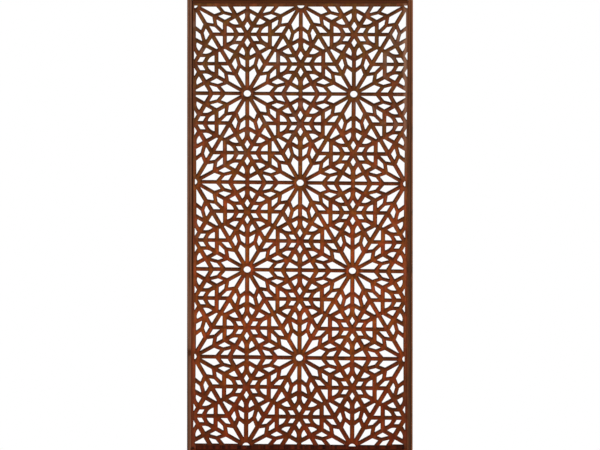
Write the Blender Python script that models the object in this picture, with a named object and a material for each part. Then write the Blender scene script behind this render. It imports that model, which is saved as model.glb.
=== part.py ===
"""Mashrabiya screen: a pierced lattice board held in a grooved four-piece frame.

The lattice is an interlaced pattern of twelve-rayed rosettes. Rosette centres
lie on a triangular grid, every second row shifted by half a spacing, and the
grid is stretched to fill the frame. One sixth of one rosette's triangle, from
the rosette S through the mid-side M to the small star T, holds every line of
the pattern; six turns and a mirror of it make the rest.

Metres, +Z up, front towards -Y, back faces in the plane Y = 0. The origin is
the middle of the top rail's back face, where the screen is fixed to a wall.
"""

import itertools
import math

import bmesh
import bpy
from mathutils import Matrix

# Driving dimensions
SCREEN_WIDTH = 1.000
SCREEN_HEIGHT = 2.085
FRAME_FACE = 0.024
FRAME_DEPTH = 0.034
BOARD_THICKNESS = 0.018
BOARD_SETBACK = 0.008
SIDE_MARGIN = 0.0070
END_MARGIN = 0.012
FIT_GAP = 0.0003
WELD_DISTANCE = 0.00001

# Frame moulding
QUIRK_WIDTH = 0.0035
QUIRK_DEPTH = 0.0048
ARRIS_RADIUS = 0.003
ARRIS_STEPS = 3
LINE_PLACE = 0.0098
LINE_WIDTH = 0.0020
LINE_DEPTH = 0.0016
GROOVE_DEPTH = 0.008

# Lattice
ROSETTE_COLUMNS = 2
ROSETTE_ROWS = 5
EDGE_CUT = 0.0025
EYE_RADIUS = 0.0158
EYE_SIDES = 12
ARC_STEPS = 2
PARTED_AT_ROW = 2

# Pattern radii, in rosette spacings
FLOWER_NEAR = 0.2155
FLOWER_FAR = 0.2855
STAR_RADIUS = 0.0938
SHIELD_RADIUS = 0.0862

# Widths of a level and of an upright bar of each kind
PLAIN = (0.0146, 0.0193)
SPOKE = (0.0118, 0.0208)
PETAL = (0.0122, 0.0173)

# Worked out from the above
HALF_WIDTH = SCREEN_WIDTH / 2
TOP_Z = FRAME_FACE / 2
BOTTOM_Z = TOP_Z - SCREEN_HEIGHT
MID_Z = (TOP_Z + BOTTOM_Z) / 2
SPACING = (SCREEN_WIDTH - 2 * (FRAME_FACE + SIDE_MARGIN)) / ROSETTE_COLUMNS
ROW_PITCH = (SCREEN_HEIGHT - 2 * (FRAME_FACE + END_MARGIN)) / ROSETTE_ROWS
TRUE_PITCH = math.sqrt(3) / 2
FIRST_ROW_Z = BOTTOM_Z + FRAME_FACE + END_MARGIN
BOARD_BACK = -BOARD_SETBACK
BOARD_FRONT = BOARD_BACK - BOARD_THICKNESS
BOARD_EDGE = FRAME_FACE - GROOVE_DEPTH + FIT_GAP
STAR_LINE = 1 / (2 * math.sqrt(3))
LATTICE_LOW = (-SPACING * ROSETTE_COLUMNS / 2, FIRST_ROW_Z)
LATTICE_HIGH = (SPACING * ROSETTE_COLUMNS / 2, FIRST_ROW_Z + ROSETTE_ROWS * ROW_PITCH)


def polar(radius, degrees, centre=(0.0, 0.0)):
    """The point at a radius and an angle from a centre."""
    angle = math.radians(degrees)
    return (
        centre[0] + radius * math.cos(angle),
        centre[1] + radius * math.sin(angle),
    )


def pattern_points():
    """The named corners of the pattern in one S, M, T triangle.

    S is a rosette's centre, M the middle between two rosettes and T the small
    six-pointed star between three. Q is where a spoke meets the hexagon round
    T, at right angles; C and G are that hexagon's crossings with the rays.
    """
    star = (0.5, STAR_LINE)
    hexagon = (0.5 - STAR_LINE) / math.cos(math.radians(30))
    tip = STAR_RADIUS * math.sqrt(3)
    return {
        "S": (0.0, 0.0),
        "M": (0.5, 0.0),
        "T": star,
        "A": polar(FLOWER_NEAR, 0),
        "B": polar(FLOWER_NEAR, 30),
        "P": polar(FLOWER_FAR, 15),
        "Q": polar(0.5 - STAR_LINE, 240, star),
        "C": polar(1 / 3, 0),
        "G": polar(hexagon, 210, star),
        "G2": polar(hexagon, 270, star),
        "E": polar(STAR_RADIUS, 240, star),
        "E2": polar(STAR_RADIUS, 300, star),
        "E3": polar(STAR_RADIUS, 180, star),
        "F": polar(tip, 210, star),
        "F2": polar(tip, 270, star),
    }


# Openings that begin in one triangle: corners anticlockwise, the kind of bar
# along each side, and whether the mirror image is another opening. A shield's
# first corner is the middle of its round side.
OPENINGS = (
    (("S", "A", "P", "B"), (SPOKE, PETAL, PETAL, SPOKE), True),
    (("A", "C", "Q", "P"), (PLAIN, PLAIN, PETAL, PETAL), True),
    (("B", "P", "Q", "G"), (PETAL, PETAL, PLAIN, PLAIN), True),
    (("C", "M", "G2", "Q"), (PLAIN,) * 4, True),
    (("T", "E", "F2", "E2"), (PLAIN,) * 4, False),
    (("T", "E3", "F", "E"), (PLAIN,) * 4, False),
)
SHIELDS = (("Q", "G2", "F2", "E"), ("Q", "E", "F", "G"))


def bar_width(start, end, bar):
    """Bars widen from level to upright with the square of their slope's sine."""
    level, upright = bar
    run, rise = end[0] - start[0], end[1] - start[1]
    return level + (upright - level) * rise * rise / (run * run + rise * rise)


def moved_in(start, end, distance):
    """The line through two points moved to its left: a point and a direction."""
    run, rise = end[0] - start[0], end[1] - start[1]
    length = math.hypot(run, rise)
    run, rise = run / length, rise / length
    return (start[0] - rise * distance, start[1] + run * distance), (run, rise)


def crossing(first, second):
    """Where two lines, each a point and a direction, cross."""
    (ax, ay), (adx, ady) = first
    (bx, by), (bdx, bdy) = second
    along = ((bx - ax) * bdy - (by - ay) * bdx) / (adx * bdy - ady * bdx)
    return ax + adx * along, ay + ady * along


def circle_crossing(line, centre, radius):
    """The further crossing of a line with a circle round a centre, as an angle."""
    (px, py), (dx, dy) = line
    px, py = px - centre[0], py - centre[1]
    inward = px * dx + py * dy
    along = -inward + math.sqrt(inward * inward - px * px - py * py + radius * radius)
    return math.atan2(py + dy * along, px + dx * along)


def inset_opening(corners, bars):
    """The opening left between bars whose middles run through the corners."""
    lines = []
    for place, corner in enumerate(corners):
        following = corners[(place + 1) % len(corners)]
        width = bar_width(corner, following, bars[place])
        lines.append(moved_in(corner, following, width / 2))
    return [crossing(lines[place - 1], lines[place]) for place in range(len(lines))]


def shield_opening(corners):
    """A quarter of a disc round Q, between a hexagon side and the bar from Q to T."""
    centre = corners[0]
    radius = SHIELD_RADIUS * SPACING
    first = moved_in(centre, corners[1], bar_width(centre, corners[1], PLAIN) / 2)
    last = moved_in(corners[3], centre, bar_width(corners[3], centre, PLAIN) / 2)
    outward = (last[0], (-last[1][0], -last[1][1]))
    low = circle_crossing(first, centre, radius)
    high = circle_crossing(outward, centre, radius)
    high += 2 * math.pi * (high < low)
    outline = [crossing(last, first)]
    for step in range(ARC_STEPS + 1):
        angle = low + (high - low) * step / ARC_STEPS
        outline.append(polar(radius, math.degrees(angle), centre))
    return outline


def eye_opening(centre):
    """A rosette's round eye."""
    turn = 360 / EYE_SIDES
    return [polar(EYE_RADIUS, turn * step, centre) for step in range(EYE_SIDES)]


def rosettes():
    """Rosette centres in rows and columns, from one outside the board to another."""
    for row in range(-1, ROSETTE_ROWS + 2):
        shift = 0.5 * ((ROSETTE_ROWS - row) % 2)
        for column in range(-1, ROSETTE_COLUMNS + 2):
            yield LATTICE_LOW[0] + (column + shift) * SPACING, FIRST_ROW_Z + row * ROW_PITCH


def placed(point, turn, mirror, centre):
    """A pattern point mirrored, turned, stretched to the rows and moved."""
    x, y = point[0], point[1] * mirror
    cosine, sine = math.cos(math.radians(turn)), math.sin(math.radians(turn))
    return (
        centre[0] + SPACING * (x * cosine - y * sine),
        centre[1] + ROW_PITCH / TRUE_PITCH * (x * sine + y * cosine),
    )


def in_lattice(point):
    """Whether a point is inside the lattice's border lines or on them."""
    return all(
        low - FIT_GAP < value < high + FIT_GAP
        for low, value, high in zip(LATTICE_LOW, point, LATTICE_HIGH)
    )


def cut_off(outline, axis, limit, side):
    """The part of an outline on one side of a limit along an axis."""
    kept = []
    for place, point in enumerate(outline):
        before = outline[place - 1]
        ahead, behind = side * (point[axis] - limit), side * (before[axis] - limit)
        if ahead * behind < 0:
            share = behind / (behind - ahead)
            kept.append(tuple(b + share * (p - b) for b, p in zip(before, point)))
        if ahead >= 0:
            kept.append(point)
    return kept


def cut_at_border(outline):
    """The part of an opening that lies far enough inside the border lines."""
    for axis in (0, 1):
        outline = cut_off(outline, axis, LATTICE_LOW[axis] + EDGE_CUT, 1)
        outline = cut_off(outline, axis, LATTICE_HIGH[axis] - EDGE_CUT, -1)
    return outline


def copies(names, mirrored):
    """An opening's corners, six turns of them and perhaps of their mirror image,
    about each rosette, where their middle is on the lattice."""
    points = pattern_points()
    mirrors = (1, -1) if mirrored else (1,)
    for centre, turn, mirror in itertools.product(rosettes(), range(0, 360, 60), mirrors):
        corners = [placed(points[name], turn, mirror, centre) for name in names]
        if mirror < 0:
            corners = corners[:1] + corners[:0:-1]
        if in_lattice([sum(axis) / len(corners) for axis in zip(*corners)]):
            yield corners, mirror


def openings():
    """The outline of every opening of the lattice."""
    for centre in rosettes():
        if in_lattice(centre):
            yield cut_at_border(eye_opening(centre))
    for names, bars, mirrored in OPENINGS:
        for corners, mirror in copies(names, mirrored):
            yield cut_at_border(inset_opening(corners, bars[::mirror]))
    for names in SHIELDS:
        for corners, mirror in copies(names, True):
            yield shield_opening(corners)


def new_collection(name):
    """A collection of the scene."""
    collection = bpy.data.collections.new(name)
    bpy.context.scene.collection.children.link(collection)
    return collection


def wood(name, colour, roughness):
    """A Principled material for one stained timber."""
    material = bpy.data.materials.new(name)
    material.use_nodes = True
    shader = material.node_tree.nodes["Principled BSDF"]
    shader.inputs["Base Color"].default_value = (*colour, 1)
    shader.inputs["Roughness"].default_value = roughness
    shader.inputs["Metallic"].default_value = 0
    return material


def flat_outline(name, outlines, thickness, collection):
    """A flat filled curve: the first outline with the others pierced through it."""
    curve = bpy.data.curves.new(name, "CURVE")
    curve.dimensions = "2D"
    curve.fill_mode = "BOTH"
    curve.extrude = thickness / 2
    for outline in outlines:
        spline = curve.splines.new("POLY")
        spline.points.add(len(outline) - 1)
        spline.points.foreach_set("co", [c for x, y in outline for c in (x, y, 0, 1)])
        spline.use_cyclic_u = True
    outlined = bpy.data.objects.new(name, curve)
    collection.objects.link(outlined)
    return outlined


def meshed(outlined, material):
    """The curve's solid as a welded mesh object in its place."""
    bpy.context.view_layer.update()
    evaluated = outlined.evaluated_get(bpy.context.evaluated_depsgraph_get())
    mesh = bpy.data.meshes.new_from_object(evaluated)
    name, place = outlined.name, outlined.matrix_world.copy()
    collection = outlined.users_collection[0]
    bpy.data.objects.remove(outlined)
    welded = bmesh.new()
    welded.from_mesh(mesh)
    bmesh.ops.remove_doubles(welded, verts=welded.verts, dist=WELD_DISTANCE)
    bmesh.ops.recalc_face_normals(welded, faces=welded.faces)
    welded.to_mesh(mesh)
    welded.free()
    mesh.materials.clear()
    mesh.materials.append(material)
    solid = bpy.data.objects.new(name, mesh)
    solid.matrix_world = place
    collection.objects.link(solid)
    return solid


def as_cutter(solid, cutters):
    """Moves a solid among the cutters, which are drawn as wires and not rendered."""
    for held in solid.users_collection:
        held.objects.unlink(solid)
    cutters.objects.link(solid)
    solid.hide_render = True
    solid.display_type = "WIRE"
    return solid


def box(name, size, middle, collection):
    """A cuboid of a size about a middle point, with its place in its mesh."""
    bpy.ops.mesh.primitive_cube_add(size=1)
    cuboid = bpy.context.object
    cuboid.name = name
    cuboid.data.transform(Matrix.Translation(middle) @ Matrix.Diagonal((*size, 1)))
    for held in cuboid.users_collection:
        held.objects.unlink(cuboid)
    collection.objects.link(cuboid)
    return cuboid


def cut_with(solid, cutter):
    """An exact Boolean cut, left on the solid as a modifier."""
    cut = solid.modifiers.new(cutter.name, "BOOLEAN")
    cut.operation = "DIFFERENCE"
    cut.solver = "EXACT"
    cut.object = cutter


def lattice_boards(collection, cutters, material):
    """The pierced board, parted along the level bar through one row of eyes.

    Each part runs from the frame's groove to the parting line, and the openings
    that reach between the two are cut through it.
    """
    parting = FIRST_ROW_Z + PARTED_AT_ROW * ROW_PITCH
    middle_y = (BOARD_FRONT + BOARD_BACK) / 2
    parts = (
        ("lattice_lower", BOTTOM_Z + BOARD_EDGE, parting - FIT_GAP / 2),
        ("lattice_upper", parting + FIT_GAP / 2, TOP_Z - BOARD_EDGE),
    )
    pattern = list(openings())
    for name, low, high in parts:
        size = (SCREEN_WIDTH - 2 * BOARD_EDGE, BOARD_THICKNESS, high - low)
        board = box(name, size, (0, middle_y, (low + high) / 2), collection)
        board.data.materials.append(material)
        pierced = [outline for outline in pattern if any(low < z < high for _, z in outline)]
        outlined = flat_outline(
            name + "_openings", pierced, 2 * BOARD_THICKNESS, collection
        )
        outlined.rotation_euler.x = math.radians(90)
        outlined.location.y = middle_y
        cut_with(board, as_cutter(meshed(outlined, material), cutters))


def frame_section():
    """Section of a frame member: x inward from the outer edge, y up to the front.

    A face with both arrises rounded and a scored line along it, then a lower
    quirk step beside the lattice.
    """
    face_edge = FRAME_FACE - QUIRK_WIDTH
    section = [(0, 0), (FRAME_FACE, 0), (FRAME_FACE, FRAME_DEPTH - QUIRK_DEPTH)]
    section.append((face_edge, FRAME_DEPTH - QUIRK_DEPTH))
    section.extend(arris(face_edge - ARRIS_RADIUS, 0))
    section.append((LINE_PLACE + LINE_WIDTH / 2, FRAME_DEPTH))
    section.append((LINE_PLACE, FRAME_DEPTH - LINE_DEPTH))
    section.append((LINE_PLACE - LINE_WIDTH / 2, FRAME_DEPTH))
    section.extend(arris(ARRIS_RADIUS, 90))
    return section


def arris(across, first):
    """A quarter round of the front edge, from a turn in degrees on."""
    centre = (across, FRAME_DEPTH - ARRIS_RADIUS)
    steps = range(ARRIS_STEPS + 1)
    return [polar(ARRIS_RADIUS, first + 90 * step / ARRIS_STEPS, centre) for step in steps]


def frame_member(name, length, groove, place, collection, cutters, material):
    """A moulded length in its place, grooved along its inner side for the board."""
    outlined = flat_outline(name, [frame_section()], length, collection)
    member = meshed(outlined, material)
    groove_size = (2 * GROOVE_DEPTH, BOARD_THICKNESS + 2 * FIT_GAP, groove)
    groove_middle = (FRAME_FACE, -(BOARD_FRONT + BOARD_BACK) / 2, 0)
    cutter = as_cutter(
        box(name + "_groove", groove_size, groove_middle, collection), cutters
    )
    cut_with(member, cutter)
    for solid in (member, cutter):
        solid.matrix_world = place


def frame(collection, cutters, material):
    """Two full-height stiles with two rails between them."""
    groove_stop = SCREEN_HEIGHT - 2 * (FRAME_FACE - GROOVE_DEPTH)
    rail_length = SCREEN_WIDTH - 2 * (FRAME_FACE + FIT_GAP)
    front = Matrix(((1, 0, 0, 0), (0, -1, 0, 0), (0, 0, -1, 0), (0, 0, 0, 1)))
    members = (
        ("stile_left", SCREEN_HEIGHT, groove_stop, 0, (-HALF_WIDTH, 0, MID_Z)),
        ("stile_right", SCREEN_HEIGHT, groove_stop, 180, (HALF_WIDTH, 0, MID_Z)),
        ("rail_top", rail_length, SCREEN_WIDTH, 90, (0, 0, TOP_Z)),
        ("rail_bottom", rail_length, SCREEN_WIDTH, 270, (0, 0, BOTTOM_Z)),
    )
    for name, length, groove, turn, corner in members:
        place = Matrix.Translation(corner) @ Matrix.Rotation(math.radians(turn), 4, "Y")
        frame_member(name, length, groove, place @ front, collection, cutters, material)


def main():
    """Builds the screen in an empty scene."""
    for leftover in list(bpy.data.objects):
        bpy.data.objects.remove(leftover)
    parts = new_collection("mashrabiya_screen")
    cutters = new_collection("cutters")
    lattice_boards(parts, cutters, wood("lattice_wood", (0.16, 0.048, 0.016), 0.5))
    frame(parts, cutters, wood("frame_wood", (0.09, 0.034, 0.018), 0.5))


main()
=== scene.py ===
"""Mashrabiya lattice screen: the pierced board, its moulded frame and the studio round it."""

import math
from collections import namedtuple

import bpy
import numpy as np
from bpy.props import FloatProperty, FloatVectorProperty, IntProperty, PointerProperty
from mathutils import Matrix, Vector
from mathutils.geometry import delaunay_2d_cdt


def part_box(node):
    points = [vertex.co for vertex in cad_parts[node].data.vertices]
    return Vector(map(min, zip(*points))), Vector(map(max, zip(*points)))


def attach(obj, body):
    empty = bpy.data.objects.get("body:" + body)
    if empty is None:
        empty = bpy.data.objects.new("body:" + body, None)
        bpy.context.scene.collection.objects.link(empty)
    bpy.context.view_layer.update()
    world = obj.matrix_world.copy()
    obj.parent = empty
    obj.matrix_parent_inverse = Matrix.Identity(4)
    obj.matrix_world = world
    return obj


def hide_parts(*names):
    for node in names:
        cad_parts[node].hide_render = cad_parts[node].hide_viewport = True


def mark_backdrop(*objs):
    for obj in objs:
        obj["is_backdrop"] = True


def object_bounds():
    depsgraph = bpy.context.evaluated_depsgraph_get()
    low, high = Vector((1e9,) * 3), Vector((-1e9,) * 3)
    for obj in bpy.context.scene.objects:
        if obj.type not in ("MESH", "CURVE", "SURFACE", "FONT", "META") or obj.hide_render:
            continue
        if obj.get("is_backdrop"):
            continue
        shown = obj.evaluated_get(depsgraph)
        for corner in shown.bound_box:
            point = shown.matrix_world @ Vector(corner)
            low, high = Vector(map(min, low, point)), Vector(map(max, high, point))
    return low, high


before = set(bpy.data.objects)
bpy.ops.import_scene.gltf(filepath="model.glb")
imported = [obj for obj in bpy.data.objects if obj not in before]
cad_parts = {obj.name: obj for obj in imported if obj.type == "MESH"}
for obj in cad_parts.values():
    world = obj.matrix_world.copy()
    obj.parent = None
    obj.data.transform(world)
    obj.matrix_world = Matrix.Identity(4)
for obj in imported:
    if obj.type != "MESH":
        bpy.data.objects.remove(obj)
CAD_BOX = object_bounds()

bl_info = {
    "name": "Mashrabiya Lattice Screen",
    "version": (1, 0, 0),
    "blender": (4, 5, 0),
    "location": "View3D > Sidebar > Screen",
    "description": "Carves a twelve-rayed lattice board and moulds the frame round it",
    "category": "Add Mesh",
}

MIDDLE = (CAD_BOX[0] + CAD_BOX[1]) / 2
# In rosette spacings: the rows' distance on a true triangular grid, and how far a
# small star lies from the line between two rosettes.
TRUE_PITCH = math.sqrt(3) / 2
STAR_LINE = 1 / (2 * math.sqrt(3))
# Points nearer than this are one point, in the pattern and where faces are filled.
WELD, FILL_WELD = 1e-6, 1e-7


# ---- settings


def number(name, description, default, **more):
    """A number, or a row of numbers, that a user may change."""
    more.update(name=name, description=description, default=default)
    if isinstance(default, tuple):
        return FloatVectorProperty(size=len(default), **more)
    return FloatProperty(**more)


def length(name, description, default):
    """A length in metres, or a row of them."""
    return number(name, description, default, unit="LENGTH", precision=5)


def share(name, description, default):
    """A plain number, or a row of them."""
    return number(name, description, default, precision=5)


def colour(name, description, default):
    """A colour, in linear light."""
    return number(name, description, default, subtype="COLOR", min=0, max=1)


class LatticeSettings(bpy.types.PropertyGroup):
    """Sizes of the pierced board."""

    columns: IntProperty(name="Columns", description="Rosette spacings across", default=2)
    rows: IntProperty(name="Rows", description="Rosette rows up the board", default=5)
    margins: length("Margins", "From stile and rail to the outermost lines", (0.0064, 0.0120))
    plain_bar: length("Plain bars", "Width, level and upright", (0.0147, 0.0192))
    spoke: length("Spokes", "Width, level and upright", (0.0139, 0.0194))
    petal_bar: length("Bars round petals", "Width, level and upright", (0.0131, 0.0171))
    star_bar: length("Bars in small stars", "Width, level and upright", (0.0142, 0.0212))
    gem_bar: length("Bars round diamonds", "Width, level and upright", (0.0142, 0.0181))
    borders: length(
        "Border bars", "Twice their widths inside their lines: left, right, bottom, top",
        (0.0172, 0.0148, 0.0150, 0.0118),
    )
    bar_taper: share("Bar taper", "How much narrower bars get per metre up", 0.0011)
    cuts: length(
        "Cuts", "How far inside their line openings stop: diamonds, side, end and corner eyes",
        (0.0008, 0.0024, 0.0008, 0.0012),
    )
    sill_left: length("Sill left", "Wood left standing in the foot's last opening", 0.0042)
    eye: length("Eye", "Radius, and how far a side eye's middle is outside", (0.0158, 0.0038))
    petal: share("Petal", "Its inner and outer corners, in spacings", (0.2155, 0.2855))
    star_radius: share("Star radius", "Side of the small star's diamonds, in spacings", 0.0938)
    shield: share(
        "Shield", "Radius of its back in spacings, less beside an upright ray, more by a level bar",
        (0.0856, 0.033, 0.027),
    )
    corner_radius: length("Corner radius", "Radius the cutter leaves in a corner", 0.0016)
    tip_share: share("Tip share", "Corner radius at sharp tips and border cuts, as a share", 0.2)
    arris: length("Arrises", "Front edges' radius, width of broken back ones", (0.0019, 0.0010))
    # The dark stain, with the painted shade on the bars' upper sides, reaches this far over a face.
    shade_reach: length("Shade reach", "How far the dark stain creeps over a face", 0.0047)
    lean: share("Lean", "Sideways lean of the pattern per metre up", 0.0040)
    drop: share(
        "Drop", "Fall per metre to the right, more per metre down, less far from the middle",
        (0.0119, 0.0052, 0.0067),
    )
    waist: share(
        "Waist", "Share that the pattern narrows by, height it repeats over, waist's height",
        (0.0060, 2.05, -0.174),
    )
    sway: length(
        "Sway", "How far rows wander, height of one wave, height of a level row",
        (0.00245, 1.33, -0.123),
    )
    hand_cut: length("Hand cut", "Unevenness of each opening's size and place", 0.00025)


class FrameSettings(bpy.types.PropertyGroup):
    """Sizes of the moulded frame."""

    quirk: length("Quirk", "Width and depth of the step beside the board", (0.0037, 0.0048))
    rounds: length("Rounds", "Outer, inner and back edges' radius", (0.0034, 0.0032, 0.0010))
    line: length("Scored line", "Place from the outer edge, width, depth", (0.0098, 0.0020, 0.0016))
    groove: length("Groove", "Its depth, and its slack round the board", (0.0080, 0.0003))
    wander: length("Wander", "How uneven the planed faces are", 0.00025)
    splay: share("Splay", "How far each side goes out per metre down", (0.0017, 0.0007))
    splay_place: length("Splay place", "Height where the sides have their true distance", -0.68)
    stations: IntProperty(name="Stations", description="Steps along a member", default=60)


class FinishSettings(bpy.types.PropertyGroup):
    """Colours of the stained wood."""

    # Deep: the cut walls' own dark stain, and the painted shade on the bars' upper sides.
    deep: colour("Deep stain", "Dark stain along edges and in cut walls", (0.066, 0.0168, 0.0036))
    high: colour("High wood", "Brown of the board's top", (0.171, 0.0550, 0.0145))
    warm: colour("Warm wood", "Orange-brown of its middle", (0.296, 0.0548, 0.0078))
    low: colour("Low wood", "Red-brown of its foot", (0.190, 0.0268, 0.0026))
    olive: colour("Olive tint", "Tint of the duller patches", (0.82, 1.00, 0.76))
    red: colour("Red tint", "Tint of the redder patches", (1.00, 0.80, 1.00))
    # Faded wood: faded stain, and painted sheen in the pale greyish streaks.
    faded_and_sheen: colour("Faded wood", "Greyish pink where the stain has gone", (0.240, 0.122, 0.076))
    bare: colour("Bare wood", "Pale wood of a rubbed or chipped face", (0.370, 0.185, 0.112))
    # Gaps: painted shade in the scored line and the quirk, and the colour of two sooty spots at the
    # foot.
    gap: colour("Gaps", "Dirt in the scored line and the quirk", (0.026, 0.0052, 0.0010))
    foot: colour("Foot", "Dark red-brown of the board's lowest edge", (0.060, 0.0085, 0.0015))
    # The stiles' tones are partly their own and partly painted light from the right: the left stile
    # painted lighter as lit, the right one darker as shaded.
    stile_left: colour("Left stile", "Faded pinkish brown", (0.172, 0.074, 0.039))
    stile_right: colour("Right stile", "Dull olive brown", (0.082, 0.031, 0.0125))
    rail_top: colour("Top rail", "Plain brown", (0.085, 0.0215, 0.0045))
    rail_bottom: colour("Bottom rail", "Dark red-brown", (0.080, 0.0110, 0.0020))
    # Worn orange: real rubbing, and painted highlight along the right stile's outer edge and in its
    # quirk.
    worn: colour("Worn wood", "Orange wood where it is rubbed", (0.222, 0.072, 0.026))


class StageSettings(bpy.types.PropertyGroup):
    """The studio."""

    elevation: number(
        "Elevation", "How far the camera looks down", math.radians(14), subtype="ANGLE",
    )
    field: length("Field", "Width of what the camera takes in", 2.661)
    aim_rise: length("Aim rise", "Aim above the screen's middle", 0.0060)
    lens: share("Lens", "Focal length in millimetres", 1130)
    floor_drop: length("Floor drop", "Floor below the screen", 0.6)
    reach: length("Reach", "Radius of the floor and of the backdrop", (13.9, 14.0))
    light: share("Light", "Strength of the sky and of the key light", (0.35, 1.6))
    key_spread: number("Key spread", "Width of the key light", math.radians(25), subtype="ANGLE")
    key_towards: share("Key towards", "Where the key light shines", (-0.75, 0.8, 0.05))


# ---- shader maths


# The numbers of the Mix node's two colours, and of the colour it gives.
MIX_COLOURS, MIX_RESULT = (6, 7), 2
# How far out a spot is full, as a share of its radius.
SPOT_CORE = 0.3
# Noise values between which patches turn from nil to full.
EVEN = (0.35, 0.65)


def maths(operation, reflected=False):
    """An operator that adds a Math node. A reflected one puts its socket second."""
    def operate(self, other):
        pair = (other, self) if reflected else (self, other)
        return self.finish.node("Math", {"operation": operation}, dict(enumerate(pair)))
    return operate


class Term:
    """A shader socket in an expression: each operator adds its Math node."""

    def __init__(self, finish, socket):
        self.finish, self.socket = finish, socket

    __add__, __radd__ = maths("ADD"), maths("ADD", True)
    __sub__, __rsub__ = maths("SUBTRACT"), maths("SUBTRACT", True)
    __mul__, __rmul__ = maths("MULTIPLY"), maths("MULTIPLY", True)


def between(mask, nil, full):
    """The number from nil, where a mask is 0, to full, where it is 1."""
    return nil + (full - nil) * mask


class Finish:
    """A material: its nodes are all made by the one method, node."""

    def __init__(self, name):
        self.material = bpy.data.materials.new(name)
        self.material.use_nodes = True
        self.tree = self.material.node_tree
        self.surface = self.tree.nodes["Principled BSDF"]

    def feed(self, socket, value):
        """Links a term to a socket, or sets a plain value on it."""
        if isinstance(value, Term):
            self.tree.links.new(value.socket, socket)
        else:
            socket.default_value = value

    def node(self, kind, settings, sockets, output=0):
        """A node of a kind, with its settings first and then its sockets."""
        made = self.tree.nodes.new("ShaderNode" + kind)
        for name, value in settings.items():
            setattr(made, name, value)
        for name, value in sockets.items():
            self.feed(made.inputs[name], value)
        return Term(self, made.outputs[output])

    def shade(self, **values):
        """Gives the shader its values, with underscores for their names' spaces."""
        for name, value in values.items():
            self.feed(self.surface.inputs[name.replace("_", " ")], value)

    def mix(self, factor, first, second):
        """A colour between two."""
        ends = [end if isinstance(end, Term) else (*end, 1) for end in (first, second)]
        sockets = {0: factor, **dict(zip(MIX_COLOURS, ends))}
        return self.node("Mix", {"data_type": "RGBA"}, sockets, output=MIX_RESULT)

    def layered(self, face, *layers):
        """A colour with others laid on, each by its mask."""
        for mask, tone in layers:
            face = self.mix(mask, face, tone)
        return face

    def scaled(self, tone, light):
        """A colour made lighter or darker."""
        return self.node("VectorMath", {"operation": "SCALE"}, {"Vector": tone, "Scale": light})

    def place(self):
        """Where a point of the piece is, in metres."""
        return self.node("TexCoord", {}, {}, output="Object")

    def along(self, axis):
        """Where a point of the piece is along X, Y or Z."""
        return self.node("SeparateXYZ", {}, {"Vector": self.place()}, output=axis)

    def ramp(self, value, nil, full):
        """A mask: 0 where the value is nil, 1 where it is full, soft at both ends."""
        return self.node(
            "MapRange", {"interpolation_type": "SMOOTHSTEP", "clamp": True},
            {"Value": value, "From Min": nil, "From Max": full},
        )

    def level(self, name):
        """A mask that comes in over the heights that LEVELS gives."""
        return self.ramp(self.along("Z"), *LEVELS[name])

    def noise(self, stretch, detail=3.0, roughness=0.55):
        """Noise of so many waves a metre along X, Y and Z."""
        mapped = self.node("Mapping", {}, {"Vector": self.place(), "Scale": stretch})
        return self.node(
            "TexNoise", {},
            {"Vector": mapped, "Scale": 1.0, "Detail": detail, "Roughness": roughness},
        )

    def patches(self, stretch, detail=3.0, band=EVEN):
        """A mask of patches, which come in over a band of a noise's values."""
        return self.ramp(self.noise(stretch, detail), *band)

    def attribute(self, name):
        """A number kept on the piece's own points."""
        return self.node("Attribute", {"attribute_name": name}, {}, output="Fac")

    def spot(self, node, x, z, radius):
        """A mask of a soft round spot on a node's front: 0 at its radius."""
        middle = (x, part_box(node)[0].y, z)
        away = self.node(
            "VectorMath", {"operation": "DISTANCE"}, {0: self.place(), 1: middle}, output="Value"
        )
        return self.ramp(away, radius, SPOT_CORE * radius)

    def bump(self, height, distance, strength):
        """Fine relief from a height, in metres."""
        sockets = {"Height": height, "Distance": distance, "Strength": strength}
        return self.node("Bump", {}, sockets)


# ---- the pattern


# What runs along an opening's side: the cut at the border, or a kind of bar.
CUT, PLAIN, SPOKE, PETAL, STAR, GEM = range(6)

# Openings with straight sides that begin in one triangle: corners anticlockwise, the
# bar along each side, and False where the mirror image is the same opening.
STRAIGHT = (
    ("S A P B", (SPOKE, PETAL, PETAL, SPOKE)),
    ("A C Q P", (PLAIN, PLAIN, PETAL, PETAL)),
    ("B P Q G", (PETAL, PETAL, PLAIN, PLAIN)),
    ("C M G2 Q", (PLAIN,) * 4),
    ("T E F2 E2", (PLAIN,) * 4, False),
    ("T E3 F E", (PLAIN,) * 4, False),
)
# Halves of the small star's diamonds.
HALVED = (
    ("T E F2", (GEM, GEM, CUT)),
    ("T F E", (CUT, GEM, GEM)),
)
# Shields: a quarter disc about the first corner, between two sides from it.
SHIELDS = (
    ("Q G2 E", (PLAIN, PLAIN, STAR)),
    ("Q E G", (STAR, PLAIN, PLAIN)),
)
# Steps round a corner, a shield or a quarter eye, and a half eye; points round an eye.
CORNER_STEPS, SHIELD_STEPS, EYE_STEPS, EYE_POINTS = 2, 8, 12, 28
# Where the random draws begin, and the range of a corner's radius, as a share.
SEED, CORNER_RANGE = 12, (0.8, 1.25)
# How far from the right border the foot's last opening begins, in spacings.
LAST_OPENING = 0.2
# The least cosine between an axis and the middle of a shield that lies along it.
ON_AXIS = 0.9


def unit(turn):
    """Unit vectors at angles in radians."""
    return np.stack([np.cos(turn), np.sin(turn)], -1)


def polar(radius, degrees, centre=(0.0, 0.0)):
    """The point at a radius and an angle in degrees from a centre."""
    return np.add(centre, radius * unit(math.radians(degrees)))


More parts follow.
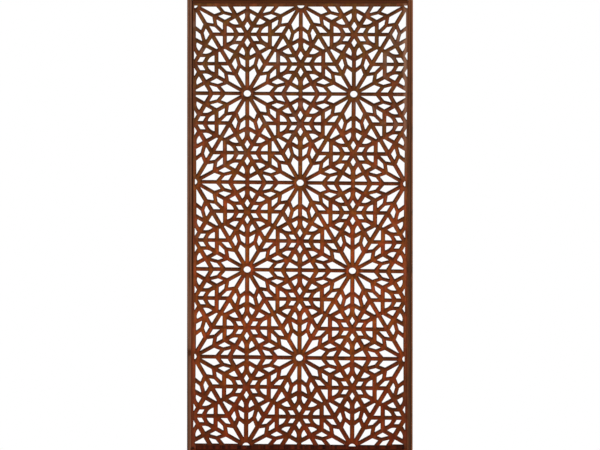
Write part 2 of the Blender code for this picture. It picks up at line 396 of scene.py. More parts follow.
def pattern_points(look):
    """Named corners of the pattern in the triangle S, M, T, in rosette spacings.

    S is a rosette's centre, M the middle between two rosettes and T the small
    star between three. Q is where a spoke meets the hexagon round T, square
    on; C and G are that hexagon's crossings with the rays.
    """
    star = (0.5, STAR_LINE)
    hexagon = (0.5 - STAR_LINE) / math.cos(math.radians(30))
    tip = look.star_radius * math.sqrt(3)
    near, far = look.petal
    places = {
        "S": (0, 0), "M": (0.5, 0), "A": (near, 0), "B": (near, 30), "P": (far, 15),
        "C": (1 / 3, 0), "T": (0, 0, star),
        "Q": (0.5 - STAR_LINE, 240, star), "G": (hexagon, 210, star), "G2": (hexagon, 270, star),
        "E": (look.star_radius, 240, star), "E2": (look.star_radius, 300, star),
        "E3": (look.star_radius, 180, star), "F": (tip, 210, star), "F2": (tip, 270, star),
    }
    return {name: polar(*place) for name, place in places.items()}


def crossing(first, reach, second, other):
    """Where the lines first . p = reach and second . p = other cross."""
    spread = first[..., 0] * second[..., 1] - first[..., 1] * second[..., 0]
    x = reach * second[..., 1] - other * first[..., 1]
    y = other * first[..., 0] - reach * second[..., 0]
    return np.stack([x, y], -1) / spread[..., None]


def sweep(begin, end, steps):
    """Angles from one direction anticlockwise to another, in equal steps."""
    low = np.arctan2(begin[..., 1], begin[..., 0])
    turn = (np.arctan2(end[..., 1], end[..., 0]) - low) % (2 * np.pi)
    return low[..., None] + turn[..., None] * np.linspace(0, 1, steps + 1)


def arcs(centre, angles, radius):
    """The centre, direction and radius of each point on many arcs."""
    count = angles.shape[-1]
    centres = np.repeat(centre[..., None, :], count, axis=-2)
    return centres, unit(angles), np.repeat(radius[..., None], count, axis=-1)


class Lattice:
    """Where the board's openings are: every opening is a ring of small arcs.

    A ring is three arrays: for each opening and each point of its outline, the
    centre of the arc it lies on, its direction from there, and the arc's
    radius. A point moved out by d is centre + (radius + d) * direction.
    """

    def __init__(self, look):
        self.look = look
        margin = np.array(tuple(look.margins))
        self.low = (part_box("stile_left")[1].x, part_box("rail_bottom")[1].z) + margin
        self.high = (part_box("stile_right")[0].x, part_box("rail_top")[0].z) - margin
        self.spacing = (self.high[0] - self.low[0]) / look.columns
        self.pitch = (self.high[1] - self.low[1]) / look.rows
        self.middle = (self.low + self.high) / 2
        self.random = np.random.default_rng(SEED)
        self.points = pattern_points(look)
        bars = (look.plain_bar, look.spoke, look.petal_bar, look.star_bar, look.gem_bar)
        self.widths = np.array([(2 * look.cuts[0],) * 2, *map(tuple, bars)])
        lines = (self.low[0], self.high[0], self.low[1], self.high[1])
        sills = (0, 0, look.sill_left, 0)
        self.borders = tuple(zip((0, 0, 1, 1), lines, look.borders, sills))

    def centres(self):
        """Rosette centres: rows from below the board to above it, every second
        row moved half a spacing across."""
        rows = np.arange(-1, self.look.rows + 2)
        columns = np.arange(-1, self.look.columns + 2)
        row, column = np.meshgrid(rows, columns, indexing="ij")
        steps = np.stack([column + 0.5 * ((self.look.rows - row) % 2), row], -1)
        return (self.low + steps * (self.spacing, self.pitch)).reshape(-1, 2)

    def copies(self, names, bars, mirrored=True):
        """Corners and bars of every copy of an opening on the board: six turns, and
        six of its mirror image with its order turned round, about every centre."""
        shapes = [np.array([self.points[name] for name in names.split()])]
        if mirrored:
            flipped = shapes[0] * (1, -1)
            shapes.append(np.roll(flipped[::-1], 1, axis=0))
        turns = np.radians(np.arange(0, 360, 60))
        spin = np.stack([unit(turns), unit(turns + math.pi / 2)], -2)
        turned = np.einsum("scj,tjk->stck", np.array(shapes), spin)
        turned = turned.reshape(-1, len(bars), 2) * (self.spacing, self.pitch / TRUE_PITCH)
        corners = (self.centres()[:, None, None] + turned).reshape(-1, len(bars), 2)
        flip = np.repeat(np.arange(len(shapes)), len(turns))
        kept = self.inside(corners.mean(1), WELD)
        flip = np.resize(flip, len(corners))[kept]
        return corners[kept], np.array([bars, bars[::-1]])[flip]

    def inside(self, points, margin):
        """Which points lie inside the border lines by a margin."""
        return np.all((points > self.low + margin) & (points < self.high - margin), -1)

    def sides(self, corners, bars):
        """Each side's inward normal and how far along it the opening begins: half
        a bar's width in from the line through the side's corners.

        Bars widen from level to upright with the square of their slope's sine,
        and narrow a little up the board.
        """
        run = np.roll(corners, -1, axis=1) - corners
        normal = np.stack([-run[..., 1], run[..., 0]], -1)
        normal /= np.linalg.norm(normal, axis=-1, keepdims=True)
        level, upright = np.moveaxis(self.widths[bars], -1, 0)
        sine = run[..., 1] ** 2 / (run**2).sum(-1)
        taper = self.look.bar_taper * (corners[..., 1] - self.middle[1])
        width = level + (upright - level) * sine - taper * (bars != CUT)
        last = corners[..., 0] > self.high[0] - LAST_OPENING * self.spacing
        for axis, line, border, sill in self.borders:
            on_line = abs(corners[..., axis] - line) < WELD
            along = on_line & np.roll(on_line, -1, axis=1) & (bars != CUT)
            width = np.where(along, border + 2 * sill * last, width)
        width += self.random.normal(0, self.look.hand_cut, width.shape)
        return normal, (normal * corners).sum(-1) + width / 2

    def radii(self, count):
        """Each opening's own corner radius."""
        return self.look.corner_radius * self.random.uniform(*CORNER_RANGE, count)

    def straight_rings(self, corners, bars):
        """Rings of straight-sided openings, their corners rounded.

        A corner's arc is centred where its two sides, both moved in by the
        radius, cross, and turns from one side's outward normal to the other's.
        """
        normal, begin = self.sides(corners, bars)
        previous = np.roll(bars, 1, axis=1)
        tips = ((bars == SPOKE) & (previous == SPOKE)) | (bars == CUT) | (previous == CUT)
        radius = self.radii(len(corners))[:, None] * np.where(tips, self.look.tip_share, 1)
        before, start = np.roll(normal, 1, axis=1), np.roll(begin, 1, axis=1)
        centre = crossing(before, start + radius, normal, begin + radius)
        ring = arcs(centre, sweep(-before, -normal, CORNER_STEPS), radius)
        return [part.reshape(len(corners), -1, *part.shape[3:]) for part in ring]

    def arched_rings(self, middle, radius, into, out, closed, arc_steps):
        """Rings of openings with one round side about a middle point.

        The outline runs along the side into the arc, round it, and back along
        the side out of it. Where the two meet in a corner, closed is true. A
        small arc between a side and the big one has its centre a small radius
        inside both.
        """
        small = self.radii(len(middle))
        ends = []
        for (normal, begin), sign in ((into, 1), (out, -1)):
            along = np.stack([normal[:, 1], -normal[:, 0]], -1)
            gap = begin + small - (normal * middle).sum(-1)
            reach = np.sqrt((radius - small) ** 2 - gap**2)
            centre = middle + normal * gap[:, None] + sign * along * reach[:, None]
            ends.append((centre, (centre - middle) / (radius - small)[:, None]))
        (first, leaving), (last, coming) = ends
        around = sweep(leaving, coming, arc_steps)[:, 1:-1]
        ring = [
            arcs(first, sweep(-into[0], leaving, CORNER_STEPS), small),
            arcs(middle, around, np.broadcast_to(radius, len(middle))),
            arcs(last, sweep(coming, -out[0], CORNER_STEPS), small),
        ]
        if closed:
            centre = crossing(out[0], out[1] + small, into[0], into[1] + small)
            ring.append(arcs(centre, sweep(-out[0], -into[0], CORNER_STEPS), small))
        return [np.concatenate(parts, axis=1) for parts in zip(*ring)]

    def rings(self):
        """The rings of all the board's openings, in blocks of like openings."""
        for names, bars, *mirrored in STRAIGHT:
            corners, bars = self.copies(names, bars, *mirrored)
            upright = abs(corners[:, 0, 0] - corners[:, 2, 0]) < WELD
            gem = upright & (names[0] == "T")
            yield self.straight_rings(corners, np.where(gem[:, None], GEM, bars))
        for names, bars in HALVED:
            corners, bars = self.copies(names, bars)
            each, cut = np.arange(len(corners)), (bars == CUT).argmax(1)
            ends = np.stack([corners[each, cut, 0], corners[each, (cut + 1) % 3, 0]])
            off_border = abs(ends[..., None] - (self.low[0], self.high[0])).max(0).min(-1)
            kept = off_border < WELD
            yield self.straight_rings(corners[kept], bars[kept])
        for names, bars in SHIELDS:
            corners, bars = self.copies(names, bars)
            normal, begin = self.sides(corners, bars)
            into, out = (normal[:, 0], begin[:, 0]), (normal[:, 2], begin[:, 2])
            towards = normal[:, 0] + normal[:, 2]
            beside, level = (abs(towards) > ON_AXIS * np.linalg.norm(towards, axis=1)[:, None]).T
            round_back, less, more = self.look.shield
            radius = round_back * (1 + (more * level - less * beside)) * self.spacing
            yield self.arched_rings(corners[:, 0], radius, into, out, True, SHIELD_STEPS)
        yield from self.eyes()

    def eyes(self):
        """Round eyes: whole ones inside, halves on the borders and quarters in
        the corners."""
        centres = self.centres()
        radius, back = self.look.eye
        _, side_cut, end_cut, corner_cut = self.look.cuts
        whole = centres[self.inside(centres, WELD)]
        turn = np.linspace(0, 2 * np.pi, EYE_POINTS, endpoint=False)
        angles = np.broadcast_to(turn, (len(whole), EYE_POINTS))
        yield arcs(whole, angles, np.full(len(whole), radius))
        on_board = centres[self.inside(centres, -WELD)]
        left, below = (abs(on_board - self.low) < WELD).T
        right, above = (abs(on_board - self.high) < WELD).T
        border = (left, above, right, below)
        inward = unit(np.radians((0, 270, 180, 90))).round()
        for place, (edge, normal) in enumerate(zip(border, inward)):
            half = on_board[edge & ~(border[(place + 1) % 4] | border[place - 1])]
            if len(half):
                aside = abs(normal[0])
                side = border_side(half, normal, side_cut if aside else end_cut)
                middle = half - aside * back * normal
                yield self.arched_rings(middle, radius, side, side, False, EYE_STEPS)
            corner = on_board[edge & border[place - 1]]
            if len(corner):
                into = border_side(corner, inward[place - 1], corner_cut)
                out = border_side(corner, normal, corner_cut)
                yield self.arched_rings(corner, radius, into, out, True, SHIELD_STEPS)

    def wandered(self, place):
        """Points moved as the laying-out wandered.

        The pattern leans, drops to the right by an amount that bends with height,
        narrows towards mid-height as a cosine, and its rows sway as a sine.
        """
        drop, growth, bend = self.look.drop
        waist, waist_length, waist_place = self.look.waist
        sway, sway_length, sway_place = self.look.sway
        x, z = np.moveaxis(place - self.middle, -1, 0)
        narrow = waist * np.cos(2 * np.pi * (z - waist_place) / waist_length)
        fall = (drop - growth * z - bend * z**2) * x
        wave = sway * np.sin(2 * np.pi * (z - sway_place) / sway_length)
        moved = np.stack([x * (1 - narrow) + self.look.lean * z, z - fall - wave], -1)
        return moved + self.middle


def border_side(points, normal, cut):
    """The cut beside the border line through points, as a side."""
    return np.broadcast_to(normal, points.shape), points @ normal + cut


# ---- meshes


# How much dark stain and painted shade lie at each step of an opening's section, from
# the face in to the back: beside an upright bar, on a bar's upper side, on its lower
# side, and how much more on a side that faces up and to the right. The cut walls'
# stain is the wood's own; how dark a side is by its direction is painted shade.
STAIN_AND_SHADE = np.array([
    (0.10, 0.70, 0.54, 0.08),
    (0.78, 0.86, 0.56, 0.12),
    (0.82, 0.82, 0.54, 0.12),
    (0.80, 0.40, 0.66, 0.10),
    (0.80, 0.20, 1.00, 0.20),
    (0.60, 0.60, 0.60, 0.00),
])
# The power of a side's slope with which its stain and painted shade turn from upright to level.
LEVEL_POWER = 1.5

# Each member's own wood: how dark its scored line and its quirk are, painted as shade
# in those hollows, how worn its outer and its inner edge are, partly painted highlight
# on the right stile, how much worn wood shows towards its top, and how sooty its edges
# get towards the foot.
Wood = namedtuple("Wood", "line quirk outer inner high soot", defaults=(0,) * 6)
MEMBERS = {
    "stile_left": Wood(line=0.55, quirk=1.0, outer=0.35, inner=0.5, soot=0.95),
    "stile_right": Wood(line=0.8, outer=1.0, inner=1.0, high=0.35),
    "rail_top": Wood(line=0.5, quirk=0.6),
    "rail_bottom": Wood(quirk=0.2),
}
# The scored line's section: across it in half widths, down it as a share of its
# depth, and how dark it is there, painted as shade in the line.
SCORED = np.array([
    (-1.6, 0.125, 0.0), (-0.9, 0.35, 0.8), (0.0, 1.0, 1.0), (0.9, 0.35, 0.8), (1.6, 0.125, 0.0),
])
# How dark and how worn the inner reed is as it turns down, and how much soot it takes;
# the dark is painted shade going into the quirk.
TURNING = np.array([
    (0.0, 0.0, 0.5), (0.0, 0.2, 1.0), (0.0, 0.5, 1.0), (0.0, 0.8, 1.0), (0.3, 1.0, 1.0),
    (1.0, 1.0, 1.0),
])
# How much soot the outer edge and the quirk take.
OUTER_SOOT, QUIRK_SOOT = 0.6, 0.3
# How much the quirk's corner and its lip are broken, and steps round the edges.
QUIRK_EASE, LIP_EASE = 0.0004, 0.0005
BACK_STEPS, REED_STEPS = 2, 5
# Lengths of the waves along a planed face, each as high as its share of them.
WAVES = np.array([0.9, 0.37, 0.16, 0.071])[:, None]
# Soot: the height where it begins, how far down it is full, and how much of a
# member's other stain goes under it.
SOOT_TOP, SOOT_FADE, SOOT_HIDES = -1.2, 0.4, 0.7


def board_box():
    """The whole board's lowest and highest corners."""
    lows, highs = zip(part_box("lattice_lower"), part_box("lattice_upper"))
    return Vector([*map(min, *lows)]), Vector([*map(max, *highs)])


def splayed(look, points):
    """Points of the frame or the board's rim, moved as the frame's sides splay.

    The move is proportional to the depth below the splay's place, and goes
    evenly from the left side's to the right side's across the frame.
    """
    left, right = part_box("stile_left")[0].x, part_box("stile_right")[1].x
    across = (points[..., 0] - left) / (right - left)
    slope = across * look.splay[1] - (1 - across) * look.splay[0]
    moved = points.copy()
    moved[..., 0] += slope * (look.splay_place - points[..., 2])
    return moved


def placed(name, data):
    """A new object in the scene, at the origin."""
    made = bpy.data.objects.new(name, data)
    bpy.context.scene.collection.objects.link(made)
    return made


def new_mesh(name, points, faces, finish):
    """A mesh object at the origin."""
    mesh = bpy.data.meshes.new(name)
    mesh.from_pydata(points, [], faces)
    mesh.materials.append(finish)
    return placed(name, mesh)


def new_piece(name, points, faces, numbers, finish, smooth_angle):
    """A smooth piece, with numbers kept on its points."""
    piece = new_mesh(name, points, faces, finish)
    for label, values in numbers.items():
        kept = piece.data.attributes.new(label, "FLOAT", "POINT")
        kept.data.foreach_set("value", np.asarray(values, np.float32))
    piece.data.shade_smooth()
    piece.data.set_sharp_from_angle(angle=math.radians(smooth_angle))
    piece.data.validate()
    return piece


def strips(openings, rings, count, first=0):
    """Quads between neighbouring rings of points, for many openings at once.

    Openings, rings and points are counted in that order from the first point.
    """
    opening, ring, point = np.meshgrid(
        np.arange(openings), np.arange(rings - 1), np.arange(count), indexing="ij"
    )
    start = first + (opening * rings + ring) * count
    following = (point + 1) % count
    corners = [start + point, start + following, start + count + following, start + count + point]
    return np.stack(corners, -1).reshape(-1, 4)


def stains_and_shades(direction):
    """The stain and painted shade at each step of an opening's section, by the direction outward.

    It goes from the upright bars' to the level bars' with a power of the rise; the
    difference between upper and lower sides is painted shade. Where the direction
    points down to the left, more painted shade is added: in proportion to the sine of
    twice its slope, and all of it at 30 or 60 degrees.
    """
    beside, above, below, shaded = STAIN_AND_SHADE.T[..., None]
    run, rise = np.moveaxis(direction[:, None], -1, 0)
    level = abs(rise) ** LEVEL_POWER
    slant = np.clip(run * rise, 0, 1) * (rise < 0) * 2 / math.sin(math.radians(60))
    return beside * (1 - level) + np.where(rise < 0, above, below) * level + shaded * slant


def lattice_mesh(look, frame_look):
    """The whole pierced board as one closed surface.

    Each opening's outline is carried along one section: from the face in over
    the rounded arris, through the board, and out over the broken back edge.
    The faces between the outlines are filled by triangles.
    """
    lattice = Lattice(look)
    low, high = board_box()
    front, back = look.arris
    bend = front * (1 - math.sqrt(0.5))
    section = np.array([
        (look.shade_reach, low.y), (front, low.y), (bend, low.y + bend), (0.0, low.y + front),
        (0.0, high.y - back), (back, high.y),
    ])
    out, depth = section.T
    points, quads, stain, front_rings, back_rings = [], [], [], [], []
    total = 0
    for centre, direction, radius in lattice.rings():
        openings, count = radius.shape
        reach = radius[:, None] + out[None, :, None]
        flat = lattice.wandered(centre[:, None] + reach[..., None] * direction[:, None])
        place = np.insert(flat, 1, depth[:, None], axis=-1)
        numbers = total + np.arange(place[..., 0].size).reshape(place.shape[:3])
        front_rings += list(numbers[:, 0])
        back_rings += list(numbers[:, -1])
        quads.append(strips(openings, len(section), count, total))
        points.append(place.reshape(-1, 3))
        # Each ring's dark stain, with painted shade by the way its side faces.
        stain.append(stains_and_shades(direction).ravel())
        total += numbers.size
    rim = np.array([(low.x, low.z), (high.x, low.z), (high.x, high.z), (low.x, high.z)])
    corners = np.concatenate([np.insert(rim, 1, y, axis=1) for y in (low.y, high.y)])
    points = np.concatenate([*points, splayed(frame_look, corners)])
    front_rim, back_rim = total + np.arange(len(corners)).reshape(2, -1)
    faces = np.concatenate(quads).tolist()
    faces += fill(points, front_rim, front_rings)
    faces += [face[::-1] for face in fill(points, back_rim, back_rings)]
    sides = [front_rim, back_rim, np.roll(back_rim, -1), np.roll(front_rim, -1)]
    faces += np.stack(sides, -1).tolist()
    return points, faces, {"stain": np.concatenate([*stain, np.zeros(len(corners))])}


def fill(points, rim, holes):
    """Triangles that fill a rim with holes in a level of the board.

    The triangulation may put its points in another order, so its triangles are
    told in the given points' numbers.
    """
    outlines = [rim, *holes]
    numbers = np.concatenate(outlines)
    ends = np.cumsum([len(outline) for outline in outlines])
    loops = [part.tolist() for part in np.split(np.arange(len(numbers)), ends[:-1])]
    flat = [Vector(pair) for pair in points[numbers][:, (0, 2)].tolist()]
    inside_with_holes = 2
    filled = delaunay_2d_cdt(flat, [], loops, inside_with_holes, FILL_WELD)
    triangles, origins = filled[2:4]
    first = np.array([origin[0] for origin in origins])
    return numbers[first[np.array(triangles)]].tolist()


def member_section(look, node, face, deep):
    """Section of a frame member: x inward from its outer edge, y up to its front,
    how stained and how worn it is there, and how much soot it takes. The stain is
    painted shade in the scored line and the quirk; the wear is partly painted highlight.

    Two rounded reeds with a scored line between them, a low quirk beside the
    board, and the groove that holds it.
    """
    low, high = board_box()
    own = MEMBERS[node]
    edge, quirk = face - look.quirk[0], deep - look.quirk[1]
    groove, slack = face - look.groove[0], look.groove[1]
    lips = (-low.y + slack, -high.y - slack)
    outer, inner, back = look.rounds
    line, width, depth = look.line
    places, depths, dark = SCORED.T
    turn_stain, turn_wear, turn_soot = TURNING.T

    def turned(x, y, radius, begin, end, steps):
        """Points of an arc."""
        return (x, y) + radius * unit(np.radians(np.linspace(begin, end, steps + 1)))

    # The scored line and the quirk are painted dark, as shade in those hollows.
    scored = (line + width / 2 * places, deep - depth * depths)
    parts = [
        (turned(back, back, back, 270, 180, BACK_STEPS), 0, 0, 0),
        (turned(outer, deep - outer, outer, 180, 90, REED_STEPS), 0, own.outer, OUTER_SOOT),
        (np.column_stack(scored), dark * own.line, 0, 0),
        (turned(edge - inner, deep - inner, inner, 90, 0, REED_STEPS),
         turn_stain * own.quirk, turn_wear * own.inner, turn_soot),
        (np.array([
            (edge, quirk + QUIRK_EASE), (edge + QUIRK_EASE, quirk), (face - LIP_EASE, quirk),
            (face, quirk - LIP_EASE), (face, lips[0]), (groove, lips[0]),
            (groove, lips[1]), (face, lips[1]),
        ]), own.quirk, own.inner, QUIRK_SOOT),
        (turned(face - back, back, back, 0, -90, BACK_STEPS), 0, 0, 0),
    ]
    return np.concatenate([
        np.column_stack([points, *(np.full(len(points), value) for value in shades)])
        for points, *shades in parts
    ])[::-1]


def member_mesh(look, node, seed):
    """A frame member: its section carried along its length, with wandering faces.

    The section's x points from the member's outer side inward, and its y to
    the front. Both ends are filled.
    """
    low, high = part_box(node)
    across = 0 if node.startswith("stile") else 2
    along = 2 - across
    inward = 1 if (low[across] + high[across]) / 2 < MIDDLE[across] else -1
    outer = low[across] if inward > 0 else high[across]
    face = high[across] - low[across]
    inside, forward, stain, wear, takes = member_section(look, node, face, -low.y).T
    stations = np.linspace(low[along], high[along], look.stations + 1)
    phase = np.random.default_rng(seed).uniform(0, 2 * np.pi, WAVES.shape)
    sway = (np.sin(2 * np.pi * stations / WAVES + phase) * WAVES).sum(0) / WAVES.sum()
    ease = np.clip(forward / forward.max(), 0, 1)
    count = len(inside)
    points = np.empty((len(stations), count, 3))
    points[..., across] = outer + inward * inside
    points[..., 1] = -forward + look.wander * (1 + sway[:, None]) * ease
    points[..., along] = stations[:, None]
    faces = strips(1, len(stations), count).tolist()
    faces += [list(range(count))[::-1], list(range(count * look.stations, count * len(stations)))]
    if (inward > 0) == (across == 0):
        faces = [face[::-1] for face in faces]
    sunk = np.clip((SOOT_TOP - points[..., 2]) / SOOT_FADE, 0, 1)
    soot = MEMBERS[node].soot * takes * sunk
    clean = stain * (1 - SOOT_HIDES * (soot > 0) * sunk)
    shading = {"stain": np.maximum(clean, soot).ravel(), "wear": np.tile(wear, len(stations))}
    return splayed(look, points).reshape(-1, 3), faces, shading


# ---- finishes


# Heights over which a change comes in: where it is nil, then where it is full.
LEVELS = {
    "brown": (-1.35, -0.10), "red": (-1.40, -1.95),
    "dull_left": (-1.70, -1.00), "dull_right": (-1.30, -1.70),
    "faded_and_sheen": (-1.30, -0.50), "faded_right": (-0.90, -0.40),
    "rubbed": (-0.95, -0.25), "less_rubbed": (-0.17, -0.06),
    "dark_left_strip": (-1.60, -1.30), "dark_right_strip": (-0.12, -0.25),
    "foot": (-2.026, -2.036), "foot_edge": (-2.040, -2.050),
    "worn": (-1.20, 0.00), "more_worn": (-0.20, -0.05),
    "stile_pale": (-1.15, -1.55), "stile_sooty": (-1.45, -1.65), "stile_red": (-1.20, -1.60),
}
# Strips along an edge: how far from it they are nil, and how far they are full.
STRIPS = {
    "left": (0.022, 0.006), "right": (0.024, 0.012),
    "dark_left_strip": (0.0045, 0.0015), "dark_right_strip": (0.0075, 0.003),
    "foot_end": (0.014, 0.010), "rail_end": (0.015, 0.011),
    "stile_sooty": (0.007, 0.002), "stile_red": (0.009, 0.005),
}
# Waves a metre along X, Y and Z of what varies over the board, and over the frame.
HUE, GRAIN, FIGURE, CLOUD = (27, 20, 21), (210, 60, 9), (34, 20, 3.2), (46, 20, 38)
FADING_AND_SHEEN, SPREAD, RUNS = (19, 12, 15), (16, 10, 16), (42, 1, 2)
FRAME_GRAIN, FRAME_PATCHES = (260, 120, 6), (11, 5, 11)
# Bands of a noise's values in which fewer or more patches show.
RARE, DRAWN, DULL, OFTEN = (0.55, 0.73), (0.38, 0.62), (0.45, 0.75), (0.30, 0.50)
# How far the board reaches into its groove.
IN_GROOVE = 0.008

# Spots, as x, z and radius: pale spots of faded stain and painted sheen on the board,
# a chip out of its face, a dark blotch on the left stile, and soot at the left end of the foot.
FADED_AND_SHEEN = ((0.430, -0.165, 0.060), (0.392, -0.265, 0.050), (-0.098, -0.265, 0.035))
CHIP, BLOTCH, SOOTY = (0.439, -0.8645, 0.007), (-0.492, -1.605, 0.024), (-0.478, -2.047, 0.014)


def lattice_finish(tones):
    """Stained wood of the board: browner at the top and redder at the foot, with
    hue patches, upright grain, faded places with painted sheen, rubbed places, dark
    stain with painted shade along the cut edges, and a dark foot painted lighter at
    its lowest edge."""
    wood = Finish("lattice_wood")
    low, high = board_box()
    from_left = wood.along("X") - (low.x + IN_GROOVE)
    from_right = (high.x - IN_GROOVE) - wood.along("X")
    left, right = wood.ramp(from_left, *STRIPS["left"]), wood.ramp(from_right, *STRIPS["right"])
    grain = wood.noise(GRAIN, detail=5, roughness=0.62)
    figure = wood.noise(FIGURE)
    streak = 0.6 * wood.ramp(grain, *EVEN) + 0.4 * wood.ramp(figure, *EVEN)

    face = wood.mix(wood.level("brown"), tones.warm, tones.high)
    face = wood.mix(wood.level("red"), face, tones.low)
    tint = wood.mix(wood.patches(HUE), tones.red, tones.olive)
    face = wood.node("VectorMath", {"operation": "MULTIPLY"}, {0: face, 1: tint})
    dull = left * wood.level("dull_left") + right * wood.level("dull_right")
    light = between(streak, 0.76, 1.23) * between(wood.patches(CLOUD), 0.76, 1.23)
    face = wood.scaled(face, 1.16 * light * (1 - 0.2 * dull))

    # Pale greyish patches and spots: faded stain and painted sheen.
    fading_and_sheen = wood.patches(FADING_AND_SHEEN, 2, RARE) * between(wood.level("faded_and_sheen"), 0.12, 0.57)
    fading_and_sheen = fading_and_sheen + 0.12 * left + right * between(wood.level("faded_right"), 0.10, 0.45)
    for spot in FADED_AND_SHEEN:
        fading_and_sheen = fading_and_sheen + 0.6 * wood.spot("lattice_lower", *spot)
    # Dark stain on the cut walls, with painted shade on the bars' upper sides.
    stain = wood.attribute("stain") * between(wood.patches(SPREAD, 2), 0.60, 1.30)
    rubbed = wood.level("rubbed") * (1 - 0.5 * wood.level("less_rubbed"))
    # Darker strips of the board beside the stiles' quirks.
    dark_left_strip = wood.ramp(from_left, *STRIPS["dark_left_strip"])
    dark_left_strip = dark_left_strip * between(wood.level("dark_left_strip"), 0.15, 0.90)
    dark_right_strip = wood.ramp(from_right, *STRIPS["dark_right_strip"]) * wood.level("dark_right_strip")
    light = 0.15 + 0.9 * wood.patches(RUNS, 2, DRAWN) + 0.7 * streak
    # The foot is painted lighter towards its lowest edge: painted light where the rail's step
    # shades it.
    foot = wood.scaled(tones.foot, light * (1 + wood.level("foot_edge")))
    ends = wood.ramp(from_left, *STRIPS["foot_end"]) + wood.ramp(from_right, *STRIPS["foot_end"])
    face = wood.layered(
        face, (fading_and_sheen, tones.faded_and_sheen), (stain, tones.deep), (0.65 * right * rubbed, tones.bare),
        (wood.spot("lattice_lower", *CHIP), tones.bare),
        (dark_left_strip + 0.35 * dark_right_strip, tones.deep),
        (wood.level("foot") * (1 - ends), foot),
        (0.9 * wood.spot("lattice_lower", *SOOTY), tones.gap),
    )
    wood.shade(
        Base_Color=face, Roughness=between(streak, 0.62, 0.44), Specular_IOR_Level=0.07,
        Normal=wood.bump(0.6 * grain + 0.4 * figure, 0.0006, 0.6),
    )
    return wood.material


def stile_left_marks(wood, face, tones, low, high):
    """Paler, sooty and blotched towards the foot, and red beside the board."""
    face = wood.scaled(face, between(wood.level("stile_pale"), 1, 1.45))
    sooty = wood.ramp(wood.along("X") - low.x, *STRIPS["stile_sooty"])
    red = wood.ramp(high.x - wood.along("X"), *STRIPS["stile_red"])
    return wood.layered(
        face, (0.9 * sooty * wood.level("stile_sooty"), tones.deep),
        (0.9 * wood.spot("stile_left", *BLOTCH), tones.deep),
        (0.8 * red * wood.level("stile_red"), tones.low),
        (0.9 * wood.spot("stile_left", *SOOTY), tones.gap),
    )


def rail_bottom_marks(wood, face, tones, low, high):
    """Redder at both ends."""
    aside = wood.node("Math", {"operation": "ABSOLUTE"}, {0: wood.along("X")})
    return wood.mix(wood.ramp(high.x - aside, *STRIPS["rail_end"]), face, tones.low)


# What only one member shows.
MARKS = {"stile_left": stile_left_marks, "rail_bottom": rail_bottom_marks}


def frame_finish(tones, member):
    """Faded wood of one frame member, rubbed orange along its outer edge, partly as a
    painted highlight, and with painted shade in its scored line and quirk."""
    wood = Finish(member + "_wood")
    stretch = FRAME_GRAIN if member.startswith("stile") else FRAME_GRAIN[::-1]
    grain, patches = wood.noise(stretch, detail=5), wood.noise(FRAME_PATCHES)
    face = wood.mix(0.3 * wood.ramp(patches, *DULL), getattr(tones, member), tones.deep)
    worn = MEMBERS[member].high * (wood.level("worn") + wood.level("more_worn"))
    face = wood.mix(worn, face, tones.worn)
    face = wood.scaled(face, between(wood.ramp(grain, *EVEN), 0.8, 1.2))
    # Wear along the edges: rubbed orange, partly painted highlight on the right stile's edges and
    # quirk.
    rubbed = wood.attribute("wear") * wood.ramp(patches, *OFTEN)
    # Worn orange, partly painted highlight, then painted shade in the scored line and the quirk.
    face = wood.layered(face, (rubbed, tones.worn), (wood.attribute("stain"), tones.gap))
    if member in MARKS:
        face = MARKS[member](wood, face, tones, *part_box(member))
    wood.shade(
        Base_Color=face, Roughness=between(grain, 0.55, 0.40), Specular_IOR_Level=0.08,
        Normal=wood.bump(grain, 0.0005, 0.5),
    )
    return wood.material


def glowing(name):
    """A plain white studio surface that gives off light and is clear from behind."""
    white = Finish(name)
    white.shade(
        Base_Color=(0, 0, 0, 1), Specular_IOR_Level=0.0,
        Emission_Color=(1, 1, 1, 1), Emission_Strength=1.0,
    )
    behind = white.node("NewGeometry", {}, {}, output="Backfacing")
    clear = white.node("BsdfTransparent", {}, {})
    solid = Term(white, white.surface.outputs[0])
    shown = white.node("MixShader", {}, {0: behind, 1: solid, 2: clear})
    white.feed(white.tree.nodes["Material Output"].inputs["Surface"], shown)
    return white.material


# ---- operators


# Degrees between faces up to which a surface is smooth.
BOARD_SMOOTH, FRAME_SMOOTH = 50, 40
# The floor's sides, the dome's rings and sides, and its end rings' angle at its poles.
FLOOR_SIDES, DOME_RINGS, DOME_SIDES, DOME_POLE = 64, 25, 48, 0.02
# The camera's sensor in millimetres, and how far it sees, in distances to its aim.
SENSOR, FARTHEST = 36, 3
# Rays that pass through the backdrop.
UNSEEN_BY = ("diffuse", "glossy", "transmission", "shadow", "volume_scatter")


class MASHRABIYA_OT_lattice(bpy.types.Operator):
    """Carve the lattice board from one piece"""

    bl_idname = "mashrabiya.lattice"
    bl_label = "Carve Lattice"

    def execute(self, context):
        scene = context.scene
        carved = lattice_mesh(scene.screen_lattice, scene.screen_frame)
        finish = lattice_finish(scene.screen_finish)
        piece = new_piece("lattice", *carved, finish, BOARD_SMOOTH)
        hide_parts("lattice_lower", "lattice_upper")
        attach(piece, "root")
        return {"FINISHED"}


class MASHRABIYA_OT_frame(bpy.types.Operator):
    """Mould the frame's two stiles and two rails"""

    bl_idname = "mashrabiya.frame"
    bl_label = "Mould Frame"

    def execute(self, context):
        for seed, node in enumerate(MEMBERS):
            moulded = member_mesh(context.scene.screen_frame, node, seed)
            finish = frame_finish(context.scene.screen_finish, node)
            piece = new_piece("moulded_" + node, *moulded, finish, FRAME_SMOOTH)
            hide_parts(node)
            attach(piece, "root")
        return {"FINISHED"}


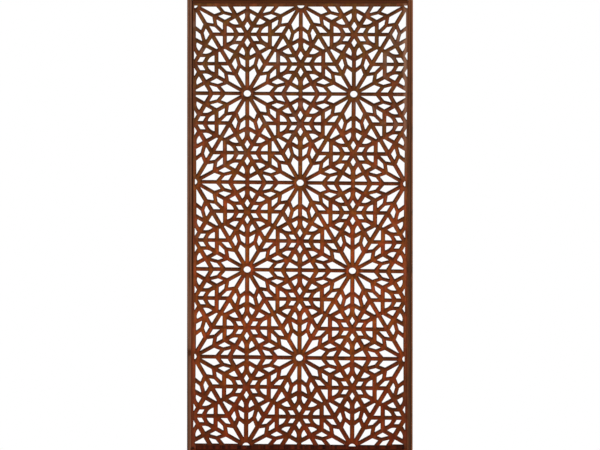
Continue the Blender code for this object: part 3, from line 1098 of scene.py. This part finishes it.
class MASHRABIYA_OT_stage(bpy.types.Operator):
    """Set the white studio: floor, backdrop, lights and camera"""

    bl_idname = "mashrabiya.stage"
    bl_label = "Set Stage"

    def execute(self, context):
        look = context.scene.screen_stage
        floor = disc("floor", CAD_BOX[0].z - look.floor_drop, look.reach[0])
        backdrop = dome("backdrop", look.reach[1])
        for ray in UNSEEN_BY:
            setattr(backdrop, "visible_" + ray, False)
        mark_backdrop(floor, backdrop)
        self.lights(context, look)
        self.camera(context, look)
        context.scene.view_settings.view_transform = "Standard"
        return {"FINISHED"}

    def lights(self, context, look):
        """A soft key from the right and a dim even sky."""
        world = bpy.data.worlds.new("studio")
        world.use_nodes = True
        light = world.node_tree.nodes["Background"].inputs
        sky, key = look.light
        light["Strength"].default_value, light["Color"].default_value = sky, (1, 1, 1, 1)
        context.scene.world = world
        lamp = bpy.data.lights.new("key", "SUN")
        lamp.energy, lamp.angle = key, look.key_spread
        towards = Vector(look.key_towards)
        placed("key", lamp).rotation_euler = towards.to_track_quat("-Z", "Y").to_euler()

    def camera(self, context, look):
        """A long lens that looks a little down at the front."""
        lens = bpy.data.cameras.new("camera")
        lens.lens, lens.sensor_width = look.lens, SENSOR
        distance = look.lens / SENSOR * look.field
        lens.clip_end = FARTHEST * distance
        back = Vector((0, -math.cos(look.elevation), math.sin(look.elevation)))
        camera = placed("camera", lens)
        camera.location = MIDDLE + Vector((0, 0, look.aim_rise)) + back * distance
        camera.rotation_euler = (-back).to_track_quat("-Z", "Y").to_euler()
        context.scene.camera = camera


def disc(name, height, radius):
    """A round floor: one ring about the middle, as one face."""
    turn = np.linspace(0, 2 * np.pi, FLOOR_SIDES, endpoint=False)
    rim = np.array(MIDDLE.xy) + radius * unit(turn)
    points = np.column_stack([rim, np.full(FLOOR_SIDES, height)])
    return new_mesh(name, points, [list(range(FLOOR_SIDES))], glowing(name + "_white"))


def dome(name, radius):
    """A sphere round the studio: rings of latitude by meridians."""
    tilt = np.linspace(DOME_POLE, np.pi - DOME_POLE, DOME_RINGS)[:, None]
    turn = np.linspace(0, 2 * np.pi, DOME_SIDES, endpoint=False)
    ring = np.sin(tilt)[..., None] * unit(turn)
    height = np.broadcast_to(np.cos(tilt), ring.shape[:2])
    points = np.array(MIDDLE) + radius * np.dstack([ring, height]).reshape(-1, 3)
    faces = strips(1, DOME_RINGS, DOME_SIDES).tolist()
    faces += [list(range(DOME_SIDES)), list(range(len(points) - DOME_SIDES, len(points)))]
    return new_mesh(name, points, faces, glowing(name + "_white"))


class MASHRABIYA_PT_panel(bpy.types.Panel):
    """Lists the screen's operators and settings"""

    bl_idname = "MASHRABIYA_PT_panel"
    bl_label = "Lattice Screen"
    bl_space_type = "VIEW_3D"
    bl_region_type = "UI"
    bl_category = "Screen"

    def draw(self, context):
        for operator, groups in SECTIONS.items():
            box = self.layout.box()
            box.operator(operator)
            for group, kind in groups.items():
                for name in kind.__annotations__:
                    box.prop(getattr(context.scene, group), name)


SECTIONS = {
    "mashrabiya.lattice": {"screen_lattice": LatticeSettings},
    "mashrabiya.frame": {"screen_frame": FrameSettings, "screen_finish": FinishSettings},
    "mashrabiya.stage": {"screen_stage": StageSettings},
}
GROUPS = {name: group for groups in SECTIONS.values() for name, group in groups.items()}
CLASSES = (
    *GROUPS.values(), MASHRABIYA_OT_lattice, MASHRABIYA_OT_frame, MASHRABIYA_OT_stage,
    MASHRABIYA_PT_panel,
)


def register():
    """Makes the operators, the panel and the settings known to Blender."""
    for kind in CLASSES:
        bpy.utils.register_class(kind)
    for name, group in GROUPS.items():
        setattr(bpy.types.Scene, name, PointerProperty(type=group))


def unregister():
    """Takes away what register added."""
    for name in GROUPS:
        delattr(bpy.types.Scene, name)
    for kind in reversed(CLASSES):
        bpy.utils.unregister_class(kind)


def main():
    """Builds the screen and its studio."""
    register()
    bpy.ops.mashrabiya.lattice()
    bpy.ops.mashrabiya.frame()
    bpy.ops.mashrabiya.stage()
    boxes = {"cad": CAD_BOX, "visual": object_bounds()}
    {name: [list(corner) for corner in box] for name, box in boxes.items()}


if __name__ == "__main__":
    main()
